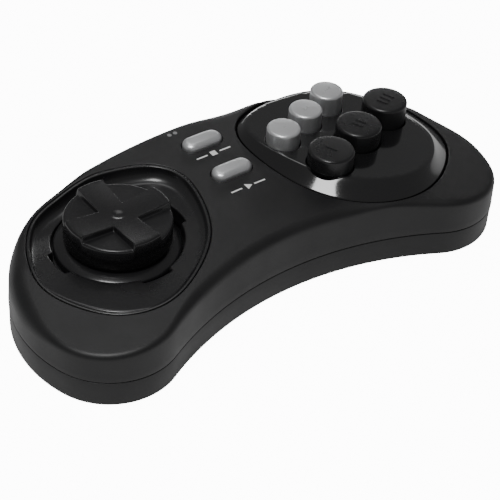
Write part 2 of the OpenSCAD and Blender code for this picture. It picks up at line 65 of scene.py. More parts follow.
# each insert's oval: circles (x, y, radius) from the shoulder centre, the same as in the CAD;
# a least-squares fit to points read off the photo made these numbers
OVAL_RIGHT = [
    (-14.1, 22.1, 11.6),
    (-2.5, 11.2, 20.5),
    (1.4, 10.4, 25.5),
    (11.8, 6.5, 16.1),
    (7.5, 16.7, 13.5),
]
OVAL_LEFT = [
    (-11.4, 18.3, 11.8),
    (0.4, 11.6, 21.1),
    (6.6, 2.7, 17.2),
    (9.8, 7.7, 16.9),
    (8.0, 17.1, 14.2),
]
PAD_X = -(SX + 2.1)
PAD_Y = SY + 11.9
PAD_R = 13.3
HOLE_R = PAD_R + 3
NOTCH_R = HOLE_R + 1.4
NOTCH_W = 8.0
DISH_Z = 18.2
DISH_FALL = 0.03
PLATEAU_Z = 24.5
PLATEAU_FALL = 0.055
BUTTON_TOP = 28.0
BIG_R = 6.0
SMALL_R = 4.45
MID_X = SX + 0.7
MID_Y = SY + 7.6
ROW = math.radians(20.5)
BIG = [(MID_X + k * 14.2 * math.cos(ROW), MID_Y + k * 14.2 * math.sin(ROW)) for k in (-1, 0, 1)]
SMALL = [
    (MID_X - 7.6 + k * 11 * math.cos(ROW), MID_Y + 12.8 + k * 11 * math.sin(ROW)) for k in (-1, 0, 1)
]
START_Y = SY + 15.3
SELECT_Y = SY + 28.4
PILL_L = 11.6
PILL_W = 5.0
PILL_H = 1.6
# printed marks in front of the two long keys: a sign with a bar on each side
MARK_X = 3.6
MARK_L = 3.4
MARK_W = 0.45
START_MARK_Y = START_Y - 7.1
SELECT_MARK_Y = SELECT_Y - 5.2
PLAYER_MARK_Y = START_Y + 19.6
# underside: battery door, label recess, screw holes, feet
BAY_X = 4.0
BAY_Y = SY + 16.7
DOOR_L = 47.0
DOOR_W = 21.0
LABEL_X = -47.0
LABEL_Y = 2.0
LABEL_L = 18.0
LABEL_W = 12.0
SCREW_HOLE_R = 2.4
FOOT_HOLE_R = 4.15
SCREWS = [
    (-LX - 1, LY - 8.3),
    (LX + 1, LY - 8.3),
    (-10.8, BODY_D / 2 - 4.6),
    (10.8, BODY_D / 2 - 4.6),
    (0.0, FRONT_CY + FRONT_R + 6.4),
]
FEET = [(LX - 6, LY + 0.5), (-LX + 6, LY + 0.5), (SX + 2, SY + 24), (-SX - 2, SY + 24)]


def left_fall(x, y):
    """extra fall of the skin and of the dish towards the back left corner"""
    return 1.9 * smooth((-x - 30) / 14) * smooth((y - 6) / 14)


def skin(x, y, down=0.0):
    """height of the top skin, mm"""
    fall = 3.0 * smooth((x - 22) / 16) * smooth((y - 8) / 14)
    return CROWN_Z + y * TILT - x**2 / (2 * DOME_R) - down - fall - left_fall(x, y)


def plateau(x):
    return PLATEAU_Z - PLATEAU_FALL * x


# ---------------------------------------------------------------- outlines
def arc(cx, cy, r, a0, a1, step, side=1):
    """points and outward normals of an arc, its last point left out"""
    n = max(2, int(abs(math.radians(a1 - a0)) * r / step))
    a = np.radians(a0 + (a1 - a0) * np.arange(n) / n)
    nrm = np.c_[np.cos(a), np.sin(a)]
    return np.c_[cx, cy] + r * nrm, side * nrm


def body_outline(step=0.9):
    parts = [
        arc(LX, LY, LOBE_R, -90 - FRONT_HALF, -TURN, step),
        arc(SX, SY, SHOULDER_R, -TURN, 90 - BACK_HALF, step),
        arc(0, BACK_CY, BACK_R, 90 - BACK_HALF, 90 + BACK_HALF, step),
        arc(-SX, SY, SHOULDER_R, 90 + BACK_HALF, 180 + TURN, step),
        arc(-LX, LY, LOBE_R, 180 + TURN, 270 + FRONT_HALF, step),
        arc(0, FRONT_CY, FRONT_R, 90 + FRONT_HALF, 90 - FRONT_HALF, step, -1),
    ]
    return np.vstack([p for p, n in parts]), np.vstack([n for p, n in parts])


def resample(p, n, step):
    """even steps along a closed line, with blended normals"""
    q = np.vstack([p, p[:1]])
    m = np.vstack([n, n[:1]])
    s = np.r_[0, np.cumsum(np.linalg.norm(np.diff(q, axis=0), axis=1))]
    k = int(s[-1] / step)
    t = np.linspace(0, s[-1], k, endpoint=False)
    out = np.c_[np.interp(t, s, q[:, 0]), np.interp(t, s, q[:, 1])]
    nn = np.c_[np.interp(t, s, m[:, 0]), np.interp(t, s, m[:, 1])]
    return out, nn / np.linalg.norm(nn, axis=1)[:, None]


def oval_outline(circles, step=0.45):
    """an insert's oval, right-hand side: the hull of its circles with eased flats"""
    a = np.radians(np.arange(0, 360, 1.0))
    n = np.c_[np.cos(a), np.sin(a)]
    k = SHOULDER_R / 34.5
    c = np.array([(SX + x * k, SY + y * k) for x, y, r in circles])
    mid = c.mean(axis=0)
    reach = ((c - mid) @ n.T + np.array([[r * k] for x, y, r in circles])).max(axis=0)
    w = np.exp(-(np.arange(-30, 31) ** 2) / (2 * 8.0**2))
    reach = np.convolve(np.r_[reach[-30:], reach, reach[:30]], w / w.sum(), "valid")
    slope = (np.roll(reach, -1) - np.roll(reach, 1)) / (2 * math.radians(1))
    p = mid + reach[:, None] * n + slope[:, None] * np.c_[-n[:, 1], n[:, 0]]
    return resample(p, n, step)


def flipped(p, n):
    """the left-hand mirror image, still anticlockwise"""
    return np.c_[-p[::-1, 0], p[::-1, 1]], np.c_[-n[::-1, 0], n[::-1, 1]]


def ring(p, n, inset, z):
    q = p - np.asarray(inset).reshape(-1, 1) * n
    z = z(q[:, 0], q[:, 1]) if callable(z) else z
    return np.c_[q, np.broadcast_to(z, len(q))]


# ---------------------------------------------------------------- mesh tools
class Build:
    """collects vertices and faces in millimetres, then makes one object"""

    def __init__(self, name):
        self.name = name
        self.v = []
        self.f = []
        self.m = []
        self.n = 0

    def points(self, p):
        self.v.append(np.asarray(p, float))
        self.n += len(p)
        return self.n - len(p)

    def faces(self, f, slot=0):
        self.f.extend(f)
        self.m.extend([slot] * len(f))

    def loft(self, rings, closed=True, slot=0, flip=False):
        """quads between rings of equal length"""
        first = [self.points(r) for r in rings]
        k = len(rings[0])
        for a, b in zip(first[:-1], first[1:]):
            for i in range(k if closed else k - 1):
                j = (i + 1) % k
                q = (a + i, a + j, b + j, b + i)
                self.faces([q[::-1] if flip else q], slot)
        return first

    def lid(self, r, slot=0, flip=False, lift=0.0):
        """a fan over a ring"""
        a = self.points(r)
        c = self.points([np.mean(r, axis=0) + [0, 0, lift]])
        k = len(r)
        for i in range(k):
            t = (a + i, a + (i + 1) % k, c)
            self.faces([t[::-1] if flip else t], slot)

    def fill(self, outer, holes, z, step, slot=0, flip=False, extra=None):
        """a surface over a flat region with holes, in small even triangles"""
        loops = [np.asarray(outer)[:, :2]] + [np.asarray(h)[:, :2] for h in holes]
        lo, hi = loops[0].min(0), loops[0].max(0)
        gx, gy = np.meshgrid(np.arange(lo[0], hi[0], step), np.arange(lo[1], hi[1], step * 0.87))
        gx[1::2] += step / 2
        g = np.c_[gx.ravel(), gy.ravel()]
        ok = inside(g, loops[0])
        for h in loops[1:]:
            ok &= ~inside(g, h)
        g = g[ok]
        edge = np.vstack(loops)
        near = np.array([np.min(np.sum((edge - q) ** 2, axis=1)) for q in g])
        g = g[near > (0.6 * step) ** 2]
        if extra is not None:
            extra = np.asarray(extra)
            near = np.array([np.min(np.sum((extra - q) ** 2, axis=1)) for q in g])
            g = np.vstack([g[near > (0.5 * step) ** 2], extra])
        pts = np.vstack([edge, g])
        links = []
        k = 0
        for q in loops:
            links += [(k + i, k + (i + 1) % len(q)) for i in range(len(q))]
            k += len(q)
        out = delaunay_2d_cdt([Vector(p) for p in pts], links, [], 0, 1e-6)
        v = np.array([tuple(p) for p in out[0]])
        tri = np.array([t for t in out[2] if len(t) == 3])
        c = v[tri].mean(axis=1)
        ok = inside(c, loops[0])
        for h in loops[1:]:
            ok &= ~inside(c, h)
        base = self.points(np.c_[v, z(v[:, 0], v[:, 1])])
        for t in tri[ok]:
            a, b, d = v[t[0]], v[t[1]], v[t[2]]
            up = (b[0] - a[0]) * (d[1] - a[1]) - (b[1] - a[1]) * (d[0] - a[0]) > 0
            t = tuple(int(i) + base for i in (t if up != flip else t[::-1]))
            self.faces([t], slot)

    def make(self, body, replaces, mats, sharp=35, weld=1e-6):
        v = np.vstack(self.v) * MM
        me = bpy.data.meshes.new(self.name)
        me.from_pydata(v.tolist(), [], [tuple(int(i) for i in f) for f in self.f])
        for m in mats:
            me.materials.append(m)
        me.polygons.foreach_set("material_index", self.m)
        o = bpy.data.objects.new(self.name, me)
        bpy.context.scene.collection.objects.link(o)
        b = bmesh.new()
        b.from_mesh(me)
        bmesh.ops.remove_doubles(b, verts=b.verts, dist=weld)
        for e in b.edges:
            e.smooth = len(e.link_faces) == 2 and e.calc_face_angle(0) < math.radians(sharp)
        for f in b.faces:
            f.smooth = True
        b.to_mesh(me)
        b.free()
        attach(o, body)
        if replaces:
            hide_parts(*replaces)
        return o


def inside(q, loop):
    """which points lie in a closed loop"""
    x, y = q[:, 0], q[:, 1]
    hit = np.zeros(len(q), bool)
    a, b = loop, np.roll(loop, -1, axis=0)
    for (x0, y0), (x1, y1) in zip(a, b):
        if y0 == y1:
            continue
        cross = (y0 > y) != (y1 > y)
        hit ^= cross & (x < (x1 - x0) * (y - y0) / (y1 - y0) + x0)
    return hit


def circle(cx, cy, r, z, n=96, start=0.0):
    a = start + 2 * math.pi * np.arange(n) / n
    x, y = cx + r * np.cos(a), cy + r * np.sin(a)
    z = z(x, y) if callable(z) else z
    return np.c_[x, y, np.broadcast_to(z, n)]


def turned(b, cx, cy, profile, n=96, slot=0, flip=False):
    """a surface of revolution through (radius, height) pairs, outside first going up"""
    return b.loft([circle(cx, cy, r, z, n) for r, z in profile], True, slot, flip)


def bend(r0, z0, r1, z1, n=6, out=True):
    """a quarter round between two profile points"""
    t = np.linspace(0, math.pi / 2, n + 1)
    if out:
        return [(r0 + (r1 - r0) * (1 - math.cos(a)), z0 + (z1 - z0) * math.sin(a)) for a in t]
    return [(r0 + (r1 - r0) * math.sin(a), z0 + (z1 - z0) * (1 - math.cos(a))) for a in t]


def smooth(t):
    t = np.clip(t, 0, 1)
    return t * t * (3 - 2 * t)


# ---------------------------------------------------------------- materials
def rgb(code):
    """an sRGB hex colour as linear values"""
    v = [int(code[i : i + 2], 16) / 255 for i in (1, 3, 5)]
    return tuple(c / 12.92 if c <= 0.04045 else ((c + 0.055) / 1.055) ** 2.4 for c in v) + (1.0,)


def node(tree, kind, inputs=None, **settings):
    """adds a node; an input given as (node, output) is linked, anything else is its value"""
    n = tree.nodes.new(kind)
    for k, v in settings.items():
        setattr(n, k, v)
    for k, v in (inputs or {}).items():
        if isinstance(v, tuple) and len(v) == 2 and isinstance(v[0], bpy.types.Node):
            tree.links.new(v[0].outputs[v[1]], n.inputs[k])
        else:
            n.inputs[k].default_value = v
    return n


def material(name):
    m = bpy.data.materials.new(name)
    m.use_nodes = True
    m.node_tree.nodes.clear()
    return m, m.node_tree


def object_noise(t, co, size_mm, **values):
    """noise in object coordinates, its scale from a size in millimetres"""
    return node(
        t, "ShaderNodeTexNoise", {"Vector": (co, "Object"), "Scale": 1 / (size_mm * MM), **values}
    )


def plastic(name, colour, rough, grain_mm, grain_depth_mm, mottle=0.12, coat=0.0):
    """moulded plastic: faint mottle, spark-eroded or polished skin, handling marks in the gloss"""
    m, t = material(name)
    co = node(t, "ShaderNodeTexCoord")
    patch = object_noise(t, co, 14, Detail=5.0)
    fine = object_noise(t, co, grain_mm, Detail=3.0, Roughness=0.6)
    shade = node(
        t, "ShaderNodeMapRange", {"Value": (patch, "Fac"), "To Min": 1 - mottle, "To Max": 1 + mottle}
    )
    mix = node(
        t,
        "ShaderNodeVectorMath",
        {0: rgb(colour)[:3], "Scale": (shade, "Result")},
        operation="SCALE",
    )
    span = {"From Min": 0.3, "From Max": 0.7, "To Min": rough * 0.85, "To Max": rough * 1.18}
    gloss = node(t, "ShaderNodeMapRange", {"Value": (patch, "Fac"), **span})
    depth = {"Distance": grain_depth_mm * MM, "Strength": 1.0}
    bump = node(t, "ShaderNodeBump", {"Height": (fine, "Fac"), **depth})
    skin_in = {"Base Color": (mix, "Vector"), "Roughness": (gloss, "Result")}
    b = node(t, "ShaderNodeBsdfPrincipled", {**skin_in, "Normal": (bump, "Normal")})
    b.inputs["IOR"].default_value = 1.5
    b.inputs["Coat Weight"].default_value = coat
    b.inputs["Coat Roughness"].default_value = 0.06
    node(t, "ShaderNodeOutputMaterial", {"Surface": (b, "BSDF")})
    return m


def silver_paint(name):
    """silver lacquer over ABS: fine aluminium flake that glitters, rubbed a little unevenly"""
    m, t = material(name)
    co = node(t, "ShaderNodeTexCoord")
    flake = node(t, "ShaderNodeTexVoronoi", {"Vector": (co, "Object"), "Scale": 1 / (0.11 * MM)})
    patch = object_noise(t, co, 5, Detail=4.0)
    tone = node(t, "ShaderNodeMapRange", {"Value": (flake, "Distance"), "To Min": 0.94, "To Max": 1.06})
    mix = node(
        t,
        "ShaderNodeVectorMath",
        {0: rgb("#d4d5d6")[:3], "Scale": (tone, "Result")},
        operation="SCALE",
    )
    rough = node(t, "ShaderNodeMapRange", {"Value": (patch, "Fac"), "To Min": 0.26, "To Max": 0.42})
    depth = {"Distance": 0.006 * MM, "Strength": 1.0}
    bump = node(t, "ShaderNodeBump", {"Height": (flake, "Distance"), **depth})
    skin_in = {"Base Color": (mix, "Vector"), "Roughness": (rough, "Result")}
    b = node(t, "ShaderNodeBsdfPrincipled", {**skin_in, "Normal": (bump, "Normal")})
    b.inputs["Metallic"].default_value = 0.75
    b.inputs["IOR"].default_value = 1.5
    node(t, "ShaderNodeOutputMaterial", {"Surface": (b, "BSDF")})
    return m


def metal(name, colour, rough):
    """nickel-plated steel with a faint drawn grain"""
    m, t = material(name)
    co = node(t, "ShaderNodeTexCoord")
    grain = object_noise(t, co, 0.5, Detail=4.0)
    span = {"To Min": rough * 0.7, "To Max": rough * 1.3}
    r = node(t, "ShaderNodeMapRange", {"Value": (grain, "Fac"), **span})
    b = node(t, "ShaderNodeBsdfPrincipled", {"Base Color": rgb(colour), "Roughness": (r, "Result")})
    b.inputs["Metallic"].default_value = 1.0
    node(t, "ShaderNodeOutputMaterial", {"Surface": (b, "BSDF")})
    return m


# spark-eroded black ABS of both shells
SHELL = plastic("shell_abs_textured", "#171718", 0.42, 0.16, 0.012)
# satin black insert of the dish round the pad
DISH = plastic("dish_abs_satin", "#1a1a1b", 0.27, 0.6, 0.004, 0.08, 0.2)
# polished black insert under the six buttons
GLOSS = plastic("insert_abs_polished", "#161617", 0.12, 1.2, 0.004, 0.08, 0.6)
# direction disc: smooth moulded ABS, satin from thumbs
PAD = plastic("pad_abs_satin", "#1c1c1d", 0.24, 0.5, 0.004)
# black round buttons
CAP = plastic("button_abs_black", "#1a1a1b", 0.28, 0.3, 0.004)
# silver buttons
SILVER = silver_paint("button_silver_lacquer")
# white screen print
INK = plastic("screen_print_white", "#f2f2f0", 0.55, 0.1, 0.006, 0.03)
INK_GREY = plastic("screen_print_grey", "#8b8b8c", 0.55, 0.1, 0.006, 0.05)
# inside parts
NYLON = plastic("nylon_natural", "#d8d6cf", 0.4, 0.3, 0.004)
SILICONE = plastic("silicone_grey", "#8a8d90", 0.5, 0.3, 0.006)
FOOT = plastic("foot_rubber_black", "#19191a", 0.7, 0.2, 0.03)
BOARD = plastic("board_solder_mask", "#2b6a3c", 0.3, 0.6, 0.006)
EPOXY = plastic("epoxy_black", "#0d0d0d", 0.2, 0.8, 0.01)
RIBBON = plastic("ribbon_pvc", "#9a9da0", 0.45, 0.3, 0.004)
WIRE = plastic("wire_pvc_red", "#8c1d18", 0.35, 0.3, 0.004)
JACKET = plastic("cell_film_blue", "#2f5f95", 0.25, 0.6, 0.004)
STEEL = metal("nickel_steel", "#b9bcc0", 0.3)
TIN = metal("tinned_steel", "#a9adb0", 0.4)


# ---------------------------------------------------------------- outer shell
BODY_P, BODY_N = resample(*body_outline(), 0.8)
OVAL_R = oval_outline(OVAL_RIGHT)
OVAL_L = flipped(*oval_outline(OVAL_LEFT))
OVAL_ALL = np.vstack([OVAL_R[0], OVAL_L[0]])


def pill_line(cx, cy, length, width, step=0.35):
    r = width / 2
    h = length / 2 - r
    a = [
        arc(cx + h, cy, r, -90, 90, step),
        arc(cx - h, cy, r, 90, 270, step),
    ]
    p = np.vstack([q for q, n in a])
    n = np.vstack([m for q, m in a])
    return resample(p, n, step)


def lipped_hole(b, p, n, z, radius, depth, slot=0):
    """rounded rim and wall of a hole whose wall stands on line p; returns the rim's outer loop"""
    rings = []
    for a in np.linspace(0, 90, 5):
        c, s = math.cos(math.radians(a)), math.sin(math.radians(a))
        q = p + n * radius * (1 - s)
        rings.append(np.c_[q, z(q[:, 0], q[:, 1]) - radius * (1 - c)])
    rings.append(ring(p, n, 0.0, lambda x, y: z(x, y) - depth))
    b.loft(rings, True, slot, True)
    return rings[0]


def top_shell():
    b = Build("top_shell_skin")
    x, y = BODY_P[:, 0], BODY_P[:, 1]
    edge = 1.5 + 1.3 * smooth((-y - 14) / 6) * smooth((46 - abs(x)) / 16)
    edge += 3.2 * smooth((x - 2) / 14) * smooth((y + 8) / 12)
    edge += 2.6 * smooth((-x - 50) / 12) * smooth((y + 16) / 12)
    room = np.min(np.hypot(x[:, None] - OVAL_ALL[None, :, 0], y[:, None] - OVAL_ALL[None, :, 1]), axis=1)
    edge = np.minimum(edge, np.maximum(room - 0.9, 0.8))
    edge = np.convolve(np.r_[edge[-8:], edge, edge[:8]], np.ones(17) / 17, "valid")
    rings = [
        ring(BODY_P, BODY_N, 0.9, SEAM_Z + 0.05),
        ring(BODY_P, BODY_N, 0.28, SEAM_Z + 0.08),
        ring(BODY_P, BODY_N, 0.08, SEAM_Z + 0.2),
        ring(BODY_P, BODY_N, 0.02, SEAM_Z + 0.45),
    ]
    for t in (0.25, 0.5, 0.75):
        rings.append(
            ring(BODY_P, BODY_N, 0.02 + 0.25 * t, lambda x, y: SEAM_Z + t * (skin(x, y) - edge - SEAM_Z))
        )
    for a in np.linspace(0, 90, 9):
        c, s = math.cos(math.radians(a)), math.sin(math.radians(a))
        rings.append(
            ring(BODY_P, BODY_N, 0.27 + edge * (1 - c), lambda x, y: skin(x, y) - edge * (1 - s))
        )
    b.loft(rings)
    holes = []
    for p, n in (OVAL_L, OVAL_R):
        holes.append(lipped_hole(b, p, n, skin, 0.3, 1.6))
    for y in (START_Y, SELECT_Y):
        p, n = pill_line(0, y, PILL_L + 0.5, PILL_W + 0.5)
        holes.append(lipped_hole(b, p, n, skin, 0.22, 2.2))
    b.fill(rings[-1], holes, skin, 1.6)
    return b.make("root", ["top_shell"], [SHELL])


def rounded_box(cx, cy, length, width, r, step=0.5):
    h, v = length / 2 - r, width / 2 - r
    a = [
        arc(cx + h, cy - v, r, -90, 0, 0.2),
        arc(cx + h, cy + v, r, 0, 90, 0.2),
        arc(cx - h, cy + v, r, 90, 180, 0.2),
        arc(cx - h, cy - v, r, 180, 270, 0.2),
    ]
    return resample(np.vstack([q for q, n in a]), np.vstack([n for q, n in a]), step)


def recess(b, p, n, z0, depth, radius=0.2, slot=0):
    """a rounded-edged recess that goes up from the underside; returns its rim"""
    rings = []
    for a in np.linspace(0, 90, 4):
        c, s = math.cos(math.radians(a)), math.sin(math.radians(a))
        rings.append(np.c_[p + n * radius * (1 - s), np.full(len(p), z0 + radius * (1 - c))])
    rings.append(np.c_[p, np.full(len(p), z0 + depth)])
    b.loft(rings, True, slot)
    b.lid(rings[-1], slot, True)
    return rings[0]


def round_recess(b, cx, cy, r, depth, radius):
    h = circle(cx, cy, r, 0, 48)
    return recess(b, h[:, :2], (h[:, :2] - [cx, cy]) / r, FOOT_H, depth, radius)


def bottom_shell():
    b = Build("bottom_shell_skin")
    rings = [
        ring(BODY_P, BODY_N, 1.1, SEAM_Z - 0.05),
        ring(BODY_P, BODY_N, 0.34, SEAM_Z - 0.06),
        ring(BODY_P, BODY_N, 0.12, SEAM_Z - 0.18),
        ring(BODY_P, BODY_N, 0.06, SEAM_Z - 0.45),
        ring(BODY_P, BODY_N, 0.1, SEAM_Z - 3.0),
    ]
    r = 0.9
    for a in np.linspace(0, 90, 7):
        c, s = math.cos(math.radians(a)), math.sin(math.radians(a))
        rings.append(ring(BODY_P, BODY_N, 0.08 + r * (1 - c), FOOT_H + r * (1 - s)))
    b.loft(rings, flip=True)
    holes = []
    p, n = rounded_box(BAY_X, BAY_Y, DOOR_L + 0.5, DOOR_W + 0.5, 1.2)
    holes.append(recess(b, p, n, FOOT_H, 1.3, 0.25))
    for cx, cy in SCREWS:
        holes.append(round_recess(b, cx, cy, SCREW_HOLE_R, 3.4, 0.3))
    p, n = rounded_box(LABEL_X, LABEL_Y, LABEL_L, LABEL_W, 1.5)
    holes.append(recess(b, p, n, FOOT_H, 0.25, 0.12))
    for cx, cy in FEET:
        holes.append(round_recess(b, cx, cy, FOOT_HOLE_R, 0.6, 0.15))
    z = lambda x, y: FOOT_H + 0 * x
    b.fill(rings[-1], holes, z, 2.2, flip=True)
    return b.make("root", ["bottom_shell"], [SHELL])


def rib_nodes():
    """Geometry Nodes: a row of grip ribs"""
    g = bpy.data.node_groups.new("grip_ribs", "GeometryNodeTree")
    face = g.interface
    face.new_socket("Geometry", in_out="INPUT", socket_type="NodeSocketGeometry")
    for name, kind, value in (
        ("Count", "NodeSocketInt", 7),
        ("Pitch", "NodeSocketFloat", 1.3 * MM),
        ("Length", "NodeSocketFloat", 12 * MM),
        ("Radius", "NodeSocketFloat", 0.32 * MM),
    ):
        face.new_socket(name, in_out="INPUT", socket_type=kind).default_value = value
    face.new_socket("Material", in_out="INPUT", socket_type="NodeSocketMaterial")
    face.new_socket("Geometry", in_out="OUTPUT", socket_type="NodeSocketGeometry")
    i = g.nodes.new("NodeGroupInput")
    step = node(g, "ShaderNodeCombineXYZ", {"Y": (i, "Pitch")})
    half = node(g, "ShaderNodeMath", {0: (i, "Length"), 1: 0.5}, operation="MULTIPLY")
    back = node(g, "ShaderNodeMath", {0: (half, "Value"), 1: -1.0}, operation="MULTIPLY")
    start = node(g, "ShaderNodeCombineXYZ", {"X": (back, "Value")})
    end = node(g, "ShaderNodeCombineXYZ", {"X": (half, "Value")})
    row = node(g, "GeometryNodeMeshLine", {"Count": (i, "Count"), "Offset": (step, "Vector")})
    ends = {"Start": (start, "Vector"), "End": (end, "Vector")}
    line = node(g, "GeometryNodeCurvePrimitiveLine", ends)
    round_ = {"Radius": (i, "Radius"), "Resolution": 16}
    profile = node(g, "GeometryNodeCurvePrimitiveCircle", round_)
    sweep = {"Curve": (line, "Curve"), "Profile Curve": (profile, "Curve"), "Fill Caps": True}
    rod = node(g, "GeometryNodeCurveToMesh", sweep)
    copies = {"Points": (row, "Mesh"), "Instance": (rod, "Mesh")}
    put = node(g, "GeometryNodeInstanceOnPoints", copies)
    real = node(g, "GeometryNodeRealizeInstances", {"Geometry": (put, "Instances")})
    painted = {"Geometry": (real, "Geometry"), "Material": (i, "Material")}
    mat = node(g, "GeometryNodeSetMaterial", painted)
    node(g, "NodeGroupOutput", {"Geometry": (mat, "Geometry")})
    return g


def battery_door():
    b = Build("battery_door_panel")
    p, n = rounded_box(BAY_X, BAY_Y, DOOR_L, DOOR_W, 1.0)
    z0 = FOOT_H + 0.1
    rings = [np.c_[p, np.full(len(p), z0 + 1.0)], np.c_[p, np.full(len(p), z0 + 0.3)]]
    for a in np.linspace(0, 90, 5)[1:]:
        c, s = math.cos(math.radians(a)), math.sin(math.radians(a))
        rings.append(np.c_[p - n * 0.3 * (1 - c), np.full(len(p), z0 + 0.3 * (1 - s))])
    b.loft(rings, flip=True)
    tp, tn = rounded_box(BAY_X, BAY_Y - 6.6, 15, 8.6, 2.0, 0.4)
    hole = recess(b, tp, tn, z0, 0.35, 0.2)
    b.fill(rings[-1], [hole], lambda x, y: z0 + 0 * x, 1.6, flip=True)
    b.lid(rings[0], 0, False)
    b.make("door", ["battery_door"], [SHELL])
    me = bpy.data.meshes.new("ribs_seed")
    o = bpy.data.objects.new("ribs_seed", me)
    bpy.context.scene.collection.objects.link(o)
    m = o.modifiers.new("ribs", "NODES")
    m.node_group = rib_nodes()
    sockets = m.node_group.interface.items_tree
    keys = {it.name: it.identifier for it in sockets if it.in_out == "INPUT"}
    m[keys["Count"]] = 5
    m[keys["Pitch"]] = 1.3 * MM
    m[keys["Length"]] = 12 * MM
    m[keys["Radius"]] = 0.3 * MM
    m[keys["Material"]] = SHELL
    dg = bpy.context.evaluated_depsgraph_get()
    made = bpy.data.meshes.new_from_object(o.evaluated_get(dg))
    bpy.data.objects.remove(o)
    made.transform(Matrix.Translation(Vector((BAY_X, BAY_Y - 6.6 - 2.6, z0 + 0.3)) * MM))
    made.name = "door_grip_ribs"
    ribs = bpy.data.objects.new("door_grip_ribs", made)
    bpy.context.scene.collection.objects.link(ribs)
    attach(ribs, "door")


# ---------------------------------------------------------------- pad well
def pad_hole(step=0.35):
    """round hole with four shallow notches, as a line with outward normals"""
    a = np.radians(np.arange(0, 360, 0.5))
    x, y = HOLE_R * np.cos(a), HOLE_R * np.sin(a)
    d = np.minimum(np.abs(x), np.abs(y))
    t = smooth((NOTCH_W / 2 + 0.3 - d) / 0.6)
    r = HOLE_R + (NOTCH_R - HOLE_R) * t
    p = np.c_[PAD_X + r * np.cos(a), PAD_Y + r * np.sin(a)]
    return resample(p, np.c_[np.cos(a), np.sin(a)], step)


def dish(x, y):
    return DISH_Z + DISH_FALL * (x - PAD_X) - 0.85 * left_fall(x, y)


def dish_insert():
    b = Build("dish_insert_gloss")
    p, n = OVAL_L
    top = lambda x, y: skin(x, y) - 0.05
    lip = 0.55
    rings = [ring(p, n, 0.14, lambda x, y: skin(x, y) - 1.5)]
    for a in np.linspace(0, 90, 4):
        c, s = math.cos(math.radians(a)), math.sin(math.radians(a))
        rings.append(ring(p, n, 0.14 + 0.2 * (1 - c), lambda x, y: top(x, y) - 0.2 * (1 - s)))
    q = p - n * (0.14 + lip)
    deep = np.maximum(skin(q[:, 0], q[:, 1]) - dish(q[:, 0], q[:, 1]), 0.12)
    for a in np.linspace(0, 90, 4):
        c, s = math.cos(math.radians(a)), math.sin(math.radians(a))
        k = np.minimum(0.3, deep * 0.4)
        rings.append(ring(p, n, 0.14 + lip + k * s, lambda x, y: top(x, y) - k * (1 - c)))
    base = 0.14 + lip + np.minimum(0.3, deep * 0.4)
    wide = 0.25 * deep + 0.2
    fil = np.minimum(1.6, deep * 0.62) + 0.4
    for t in np.linspace(0.0, 1, 10)[1:]:
        a = math.radians(90 * t)
        ins = base + wide * t + fil * (1 - math.cos(a))
        high = math.sin(a)
        rim = lambda x, y: top(x, y) - np.minimum(0.3, deep * 0.4)
        rings.append(
            ring(p, n, ins, lambda x, y: rim(x, y) * (1 - high) + dish(x, y) * high)
        )
    b.loft(rings)
    hp, hn = pad_hole()
    hole = lipped_hole(b, hp, hn, dish, 0.4, 5.5)
    b.fill(rings[-1], [hole], dish, 1.0)
    return b.make("root", ["dish_insert"], [DISH], sharp=50)


# ---------------------------------------------------------------- button mesa
def mesa_inset(p):
    """how far in the flat top starts, by the side that a point is on

    a scratch script measured the left and front on the photo; right and back are set by eye
    """
    a = np.degrees(np.arctan2(p[:, 1] - MID_Y, p[:, 0] - MID_X))
    at = [-180, -155, -130, -105, -80, -55, -35, -20, 0, 30, 60, 90, 120, 150, 165, 180]
    ins = [4.6, 4.8, 5.4, 4.8, 3.9, 3.3, 4.3, 6.2, 7.2, 6.4, 4.2, 2.4, 1.8, 2.6, 3.3, 4.6]
    return np.interp(a, at, ins)


def button_insert():
    b = Build("button_insert_gloss")
    p, n = OVAL_R
    ins = mesa_inset(p)
    k = np.ones(31) / 31
    ins = np.convolve(np.r_[ins[-15:], ins, ins[:15]], k, "valid")
    foot = lambda x, y: skin(x, y) - 0.25
    rings = [
        ring(p, n, 0.45, lambda x, y: skin(x, y) - 2.6),
        ring(p, n, -0.3, lambda x, y: skin(x, y) - 2.6),
        ring(p, n, -0.3, lambda x, y: skin(x, y) - 2.2),
        ring(p, n, 0.45, lambda x, y: skin(x, y) - 2.1),
        ring(p, n, 0.42, lambda x, y: foot(x, y) - 0.25),
        ring(p, n, 0.5, foot),
    ]
    for t in np.linspace(0, 1, 19)[1:]:
        w = 1 - (1 - t) ** 1.2 * (1 + 0.35 * t)
        w = np.clip(w, 0, 1)
        rings.append(
            ring(p, n, 0.5 + (ins - 0.5) * t, lambda x, y: foot(x, y) * (1 - w) + plateau(x) * w)
        )
    b.loft(rings)
    z = lambda x, y: plateau(x) + 0 * y
    holes = []
    for (cx, cy), r in [(c, BIG_R) for c in BIG] + [(c, SMALL_R) for c in SMALL]:
        h = circle(cx, cy, r + 0.22, 0, 96)
        hn = (h[:, :2] - [cx, cy]) / (r + 0.22)
        holes.append(lipped_hole(b, h[:, :2], hn, z, 0.25, 5.0))
    b.fill(rings[-1], holes, z, 1.0)
    return b.make("root", ["button_insert"], [GLOSS], sharp=60)


